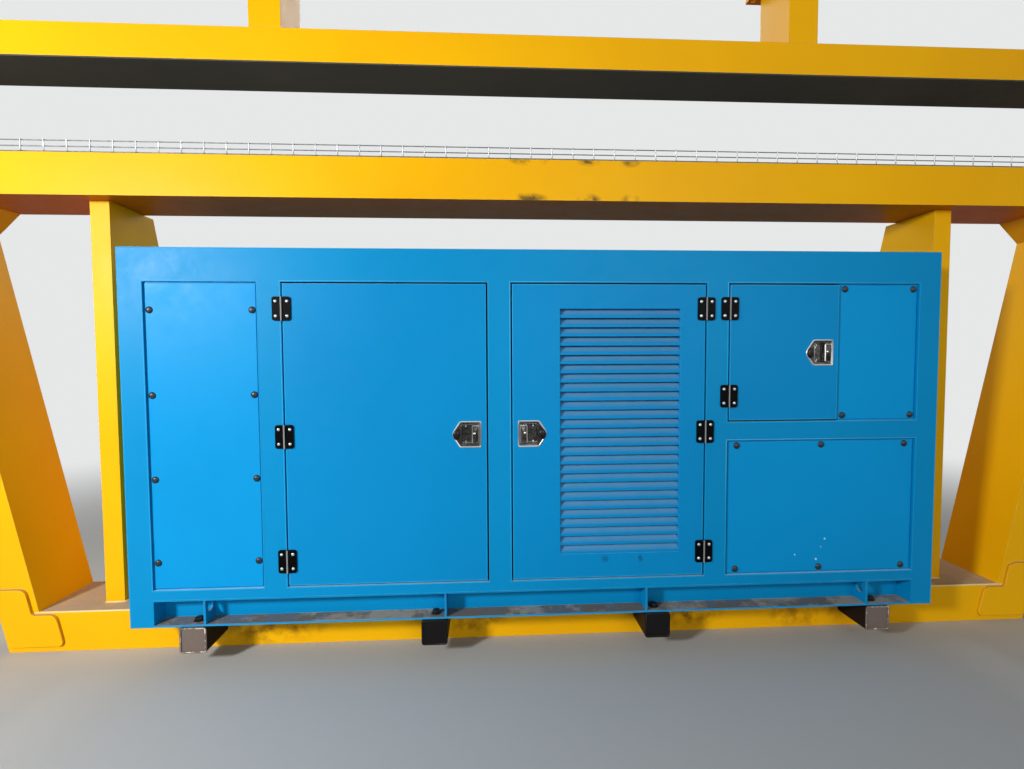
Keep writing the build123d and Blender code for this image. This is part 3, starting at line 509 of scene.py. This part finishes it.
settle_shape("frame_hinge_screws", frame_screws, zinc_plated_steel, "root")

# Hexagon bolts of the skid, each on a round washer
WASHER = [(9, 0), (20, 0), (20, 2.4), (19.4, 3), (9, 3)]
WASHER_THICKNESS = 3
HEAD_HEIGHT = 12
HEAD_RADIUS = 15.6
HEAD_CHAMFER = 1.8
SKID_BOLT_PLACES = [(x, y) for x in (-1417, -460, 460, 1417) for y in (-277, 647)]
bolt_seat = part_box("skid_bolts")[0].z
shape = bmesh.new()
for x, y in SKID_BOLT_PLACES:
    turn(shape, WASHER, (x * MM, y * MM, bolt_seat), steps=28, axis=(0, 0, -1))
    middle = Vector((x * MM, y * MM, bolt_seat + (WASHER_THICKNESS + HEAD_HEIGHT / 2) * MM))
    head = bmesh.ops.create_cone(
        shape, cap_ends=True, segments=6, radius1=HEAD_RADIUS * MM, radius2=HEAD_RADIUS * MM,
        depth=HEAD_HEIGHT * MM, matrix=Matrix.Translation(middle))
    rim = {edge for vert in head["verts"] for edge in vert.link_edges
           if all(end.co.z > middle.z for end in edge.verts)}
    bmesh.ops.bevel(shape, geom=sorted(rim, key=lambda edge: edge.calc_length()),
                    offset=HEAD_CHAMFER * MM, segments=2, profile=0.5, affect="EDGES",
                    material=-1)
settle_shape("skid_bolt_heads", shape, black_oxide_steel, "root",
             ("skid_bolts",), sharp=25)


# Pressed edges of the sheet steel, around the openings of the housing and what fills them
def rim_run(low, high, y, outwards):
    """Closed run of points around a rectangle, moved outwards in its plane."""
    left, right = low.x - outwards, high.x + outwards
    bottom, top = low.z - outwards, high.z + outwards
    return [(left, y, bottom), (right, y, bottom), (right, y, top), (left, y, top)]


# Rolls of sheet, in mm: on the doors and the housing, on the fixed panels and round the openings
EDGE_THICKNESS = 6
PANEL_EDGE_THICKNESS = 4
EDGE_INSET = 2.1 * MM
FRAME_EDGE_THICKNESS = 8
FRAME_EDGE_INSET = 2.9 * MM
DOOR_GAP = 6 * MM
# The edge rods take the paler coat: partly dust, partly a painted highlight on the bends
frame_edges = [rim_run(*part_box(node), house_front + FRAME_EDGE_INSET,
                       DOOR_GAP + FRAME_EDGE_INSET)
               for node in ("left_panel", "left_door", "centre_door", "lower_right_panel")]
upper_low, upper_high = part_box("right_door")[0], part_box("upper_right_panel")[1]
frame_edges.append(rim_run(upper_low, upper_high, house_front + FRAME_EDGE_INSET,
                           DOOR_GAP + FRAME_EDGE_INSET))
rods("opening_edges", frame_edges, FRAME_EDGE_THICKNESS, blue_pressed_edge_dusty_lit, "root",
     closed=True)
rods("fixed_panel_edges", [rim_run(*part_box(node), panel_face + EDGE_INSET, -EDGE_INSET)
                           for node in ("left_panel", "upper_right_panel", "lower_right_panel")],
     PANEL_EDGE_THICKNESS, blue_pressed_edge_dusty_lit, "root", closed=True)
for door in HINGES:
    rods(door + "_edges", [rim_run(*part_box(door), house_front + EDGE_INSET, -EDGE_INSET)],
         EDGE_THICKNESS, blue_pressed_edge_dusty_lit, door + "_body", closed=True)
rods("housing_front_edge", [rim_run(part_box("corner_posts")[0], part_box("housing_roof")[1],
                                    house_front + EDGE_INSET, -EDGE_INSET)],
     EDGE_THICKNESS, blue_pressed_edge_dusty_lit, "root", closed=True)


# Paddle latches: a pressed plate with a raised rim, a cup, a folded paddle and a lock cover
def oblong(x, z, half_width, half_height):
    """Corners of a rectangle about its middle, in mm."""
    return [(x - half_width, z - half_height), (x + half_width, z - half_height),
            (x + half_width, z + half_height), (x - half_width, z + half_height)]


def rounded_face(shape, corners, y, rounding):
    """Flat face at a depth, facing the front, through a few corners that are then rounded."""
    face = shape.faces.new([shape.verts.new((x * MM, y, z * MM)) for x, z in corners])
    face.normal_update()
    if face.normal.y > 0:
        face.normal_flip()
    before = set(shape.faces) - {face}
    bmesh.ops.bevel(shape, geom=list(face.verts), offset=rounding * MM, segments=4,
                    profile=0.5, affect="VERTICES", material=-1)
    return next(new for new in shape.faces if new not in before)


def press(shape, face, steps):
    """Press a face in steps of (inset, rise); the first rim's edges are returned."""
    rim = list(face.edges)
    for inset, rise in steps:
        bmesh.ops.inset_region(shape, faces=[face], thickness=inset * MM, depth=rise * MM,
                               use_even_offset=True, use_boundary=True)
    return rim


# Sizes in mm. Offsets run from the latch's middle: the plate's point, the lock and the small
# rivets lie on one side of it, the cup, the paddle, its rolled fold and its rivet on the other.
PLATE_REACH = 59
PLATE_SHOULDER = 29
PLATE_HALF_HEIGHT = 55
POINT_HALF_HEIGHT = 9
PLATE_ROUNDING = 7.8
PLATE_LIFT = 0.2
PLATE_SHEET = 1.2
PLATE_RIM = [(1.0, 1.6), (2.2, 1.3), (2.4, -0.7), (1.0, -1.0)]
CUP_OFFSET = 13
CUP_HALF_SIZES = (36.3, 41.5)
CUP_ROUNDING = 9
CUP_STEPS = [(0.8, -0.8), (3.0, -7.0), (3.0, -6.5), (1.5, -1.5)]
PADDLE_OFFSET = 35
PADDLE_HALF_SIZES = (13.5, 36.5)
PADDLE_ROUNDING = 3
PADDLE_LIFT = 3
PADDLE_SKIRT = 9
PADDLE_STEPS = [(0.8, 0.9), (1.4, 0.4)]
FOLD_OFFSET = 21.8
FOLD_RADIUS = 2.6
FOLD_LENGTH = 69
FOLD_DEPTH = 1.2
RIVET_OFFSET = 31
RIVET_RISE = 4
RIVET = [(0, 2.2), (2.4, 2.0), (4.2, 1.2), (5, 0)]
SMALL_RIVET = [(0, 1.6), (2, 1.3), (3.2, 0)]
SMALL_RIVET_OFFSET = 4.5
SMALL_RIVET_RISE = 30
LOCK_COVER = [(0, 7.4), (5, 7.2), (9.5, 6.2), (12.6, 4.2), (14.2, 1.8), (14.5, 0)]
LOCK_OFFSET = 42
LOCK_DROP = 1
LOCK_STRETCH = 1.5
# Middle of each latch and the side to which its plate points
LATCHES = {
    "left_door": (-324.5, 930, -1),
    "centre_door": (-59.5, 930, 1),
    "right_door": (1142.5, 1254, -1),
}
for door, (x, z, point) in LATCHES.items():
    shape = bmesh.new()
    blunt, tip = x - point * PLATE_REACH, x + point * PLATE_REACH
    shoulder = x + point * PLATE_SHOULDER
    bottom, top = z - PLATE_HALF_HEIGHT, z + PLATE_HALF_HEIGHT
    plate = rounded_face(shape, [(blunt, bottom), (shoulder, bottom),
                                 (tip, z - POINT_HALF_HEIGHT), (tip, z + POINT_HALF_HEIGHT),
                                 (shoulder, top), (blunt, top)],
                         house_front - PLATE_LIFT * MM, PLATE_ROUNDING)
    press(shape, plate, PLATE_RIM)
    plate_edges = list(plate.edges)
    floor_y = plate.verts[0].co.y
    bmesh.ops.delete(shape, geom=[plate], context="FACES_ONLY")
    cup = rounded_face(shape, oblong(x - point * CUP_OFFSET, z, *CUP_HALF_SIZES), floor_y,
                       CUP_ROUNDING)
    cup_edges = press(shape, cup, CUP_STEPS)
    cup_floor = cup.verts[0].co.y
    bmesh.ops.triangle_fill(shape, use_beauty=True, use_dissolve=False,
                            edges=plate_edges + cup_edges)
    # Stainless drawn dark as a painted reflection, with painted highlights on its tilted faces
    latch = settle_shape(door + "_latch_plate", shape, stainless_painted_reflection, door + "_body",
                         (door + "_latch",), sharp=35)
    sheet = latch.modifiers.new("sheet_thickness", "SOLIDIFY")
    sheet.thickness = PLATE_SHEET * MM
    sheet.offset = -1

    shape = bmesh.new()
    paddle = rounded_face(shape, oblong(x - point * PADDLE_OFFSET, z, *PADDLE_HALF_SIZES),
                          house_front - PADDLE_LIFT * MM, PADDLE_ROUNDING)
    paddle_edges = press(shape, paddle, PADDLE_STEPS)
    paddle_face = paddle.verts[0].co.y
    skirt = bmesh.ops.extrude_edge_only(shape, edges=paddle_edges)["geom"]
    bmesh.ops.translate(shape, vec=(0, PADDLE_SKIRT * MM, 0),
                        verts=[part for part in skirt if isinstance(part, bmesh.types.BMVert)])
    settle_shape(door + "_latch_paddle", shape, stainless_painted_reflection, door + "_body",
                 sharp=35)

    shape = bmesh.new()
    fold_place = Vector(((x - point * FOLD_OFFSET) * MM, paddle_face + FOLD_DEPTH * MM, z * MM))
    bmesh.ops.create_cone(
        shape, cap_ends=True, segments=14, radius1=FOLD_RADIUS * MM, radius2=FOLD_RADIUS * MM,
        depth=FOLD_LENGTH * MM, matrix=Matrix.Translation(fold_place))
    turn(shape, RIVET, ((x - point * RIVET_OFFSET) * MM, paddle_face, (z + RIVET_RISE) * MM),
         steps=20)
    for lift in (-SMALL_RIVET_RISE, SMALL_RIVET_RISE):
        turn(shape, SMALL_RIVET, ((x + point * SMALL_RIVET_OFFSET) * MM, cup_floor,
                                  (z + lift) * MM), steps=16)
    # Fold and rivets in the bright copy of the steel: a painted highlight
    settle_shape(door + "_latch_fold", shape, stainless_painted_bright, door + "_body")

    shape = bmesh.new()
    lock_place = Vector(((x + point * LOCK_OFFSET) * MM, floor_y, (z - LOCK_DROP) * MM))
    turn(shape, LOCK_COVER, lock_place, steps=28)
    bmesh.ops.scale(shape, vec=(1, 1, LOCK_STRETCH), verts=shape.verts,
                    space=Matrix.Translation(-lock_place))
    settle_shape(door + "_lock_cover", shape, abs_lock_cover, door + "_body")


# Weld beads, laid along the outlines where a node meets what carries it
Y_AXIS, Z_AXIS = 1, 2
ON_PLANE = 0.05 * MM


def outline_run(node, axis, place, side=0):
    """Longest closed outline of a node in a plane across an axis, as points in metres."""
    shape = bmesh.new()
    shape.from_mesh(nodes[node].data)
    bmesh.ops.remove_doubles(shape, verts=shape.verts, dist=MERGE_DISTANCE)
    edges = [edge for edge in shape.edges
             if all(abs(vert.co[axis] - place) < ON_PLANE for vert in edge.verts)
             and any(abs(face.normal[axis]) < 0.9 for face in edge.link_faces)
             and all(vert.co.x * side >= 0 for vert in edge.verts)]
    runs = []
    while edges:
        run = list(edges.pop(0).verts)
        while True:
            onward = [edge for edge in run[-1].link_edges if edge in edges]
            if not onward:
                break
            edges.remove(onward[0])
            run.append(onward[0].other_vert(run[-1]))
        runs.append([vert.co.copy() for vert in run[:-1]])
    shape.free()
    return max(runs, key=lambda run: sum((a - b).length for a, b in zip(run, run[1:])))


# Widths of the beads and of the pale edge, rubbed paint and painted highlight, in mm
CORNER_WELD = 8
FOOT_WELD = 9
PALE_BEAM_EDGE = 8
PALE_BEAM_EDGE_INSET = 3 * MM
CAP_WELD = 7
CAP_WELD_STANDS = 1.2 * MM
TUBE_PLACES = (-1421, -464, 464, 1421)
plate_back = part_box("lower_beam")[0].y
plate_outlines = [outline_run("corner_plates", Y_AXIS, plate_back, side) for side in (-1, 1)]
# These two beads are open: each starts and ends at the plate's lowest edge
for run in plate_outlines:
    lowest = min(range(len(run)), key=lambda at: run[at].z + run[at - 1].z)
    run[:] = run[lowest:] + run[:lowest]
# Corner plate beads in the darker weld enamel: painted shade along the plates' edges
rods("corner_plate_welds", plate_outlines, CORNER_WELD, yellow_enamel_weld_shade, "root")
feet = [outline_run(node, Z_AXIS, lower_beam_top)
        for node in ("left_leg", "right_leg", "left_post", "right_post")]
rods("foot_welds", feet, FOOT_WELD, yellow_enamel_rubbed_lit, "root", closed=True)
beam_low, beam_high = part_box("lower_beam")
edge_y, edge_z = beam_low.y + PALE_BEAM_EDGE_INSET, beam_high.z - PALE_BEAM_EDGE_INSET
# Pale edge along the lower beam's top front corner: rubbed paint and painted highlight
rods("lower_beam_pale_edge", [[(beam_low.x + PALE_BEAM_EDGE_INSET, edge_y, edge_z),
                                 (beam_high.x - PALE_BEAM_EDGE_INSET, edge_y, edge_z)]],
     PALE_BEAM_EDGE, yellow_enamel_rubbed_lit, "root")
cap_low, cap_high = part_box("tube_end_caps")
cap_half = (cap_high.z - cap_low.z) / 2
cap_level = (cap_high.z + cap_low.z) / 2
rods("tube_cap_welds",
     [[(x * MM + cap_half * along, cap_low.y - CAP_WELD_STANDS, cap_level + cap_half * up)
       for along, up in ((-1, -1), (1, -1), (1, 1), (-1, 1))] for x in TUBE_PLACES],
     CAP_WELD, bare_weld, "root", closed=True)


# ---------------------------------------------------------------- camera, light and floor

def lamp(name, place, aim, size, power):
    """Soft square lamp that points at a place."""
    data = bpy.data.lights.new(name, "AREA")
    data.size = size
    data.energy = power
    made = bpy.data.objects.new(name, data)
    made.location = place
    made.rotation_euler = (Vector(aim) - Vector(place)).to_track_quat("-Z", "Y").to_euler()
    bpy.context.scene.collection.objects.link(made)


# Place, aim, width of the square in metres, and watts: a small key from the left front, a broad
# fill from the right front and a broad rim from behind
lamp("key_lamp", (-3.4, -3.2, 2.2), (0, 0, 0.9), 0.5, 168)
lamp("fill_lamp", (2.4, -7.4, 3.0), (0.4, 0, 1.2), 4.0, 135)
lamp("rim_lamp", (0, 7.0, 6.0), (0, 0, 1.2), 4.0, 240)

# The world lights the object weakly, and shows its own full strength to the camera and in gloss
BACKDROP = "#E6E8E8"
ROOM_LIGHT = 0.17
FLOOR_HALF_WIDTH = 30
FLOOR_FADES_FROM, FLOOR_FADES_TO = 3.0, 7.0
world = bpy.data.worlds.new("studio")
bpy.context.scene.world = world
world.use_nodes = True
sky = world.node_tree
sky.nodes.clear()
seen = add(sky, "Math", {0: add(sky, "LightPath", out="Is Glossy Ray"),
                         1: add(sky, "LightPath", out="Is Transmission Ray")},
           operation="MAXIMUM")
seen = add(sky, "Math", {0: seen, 1: add(sky, "LightPath", out="Is Camera Ray")},
           operation="MAXIMUM")
strength = add(sky, "MapRange", {"Value": seen, "To Min": ROOM_LIGHT, "To Max": 1.0})
backdrop = add(sky, "Background", {"Color": linear(BACKDROP), "Strength": strength})
add(sky, "OutputWorld", {0: backdrop})

floor_mesh = bpy.data.meshes.new("floor")
shape = bmesh.new()
bmesh.ops.create_grid(shape, x_segments=1, y_segments=1, size=FLOOR_HALF_WIDTH)
shape.to_mesh(floor_mesh)
shape.free()
floor = bpy.data.objects.new("floor", floor_mesh)
bpy.context.scene.collection.objects.link(floor)
# Plain matt floor paint: pale, with the object's shadow on it, and far off one with the backdrop
floor_paint, floor_tree = empty_material("matt_floor_paint")
far = add(floor_tree, "VectorMath", {0: add(floor_tree, "TexCoord", out="Object")}, "Value",
          operation="LENGTH")
far = add(floor_tree, "MapRange", {"Value": far, "From Min": FLOOR_FADES_FROM,
                                   "From Max": FLOOR_FADES_TO},
          interpolation_type="SMOOTHSTEP")
far = add(floor_tree, "Math", {0: far, 1: add(floor_tree, "LightPath", out="Is Camera Ray")},
          operation="MULTIPLY")
matt = add(floor_tree, "BsdfPrincipled", {"Base Color": linear("#B8B8B5"), "Roughness": 0.8})
distant = add(floor_tree, "Emission", {"Color": linear(BACKDROP)})
add(floor_tree, "OutputMaterial",
    {0: add(floor_tree, "MixShader", {0: far, 1: matt, 2: distant})})
dress(floor, floor_paint)

camera_data = bpy.data.cameras.new("camera")
camera_data.sensor_width = 36
camera_data.lens = 17.93
camera_data.clip_end = 200
camera = bpy.data.objects.new("camera", camera_data)
camera.location = (-0.2515, -2.371, 1.225)
camera.rotation_euler = [math.radians(a) for a in (87.384, 0.2857, -3.0791)]
bpy.context.scene.collection.objects.link(camera)
bpy.context.scene.camera = camera
bpy.context.scene.view_settings.view_transform = "Standard"
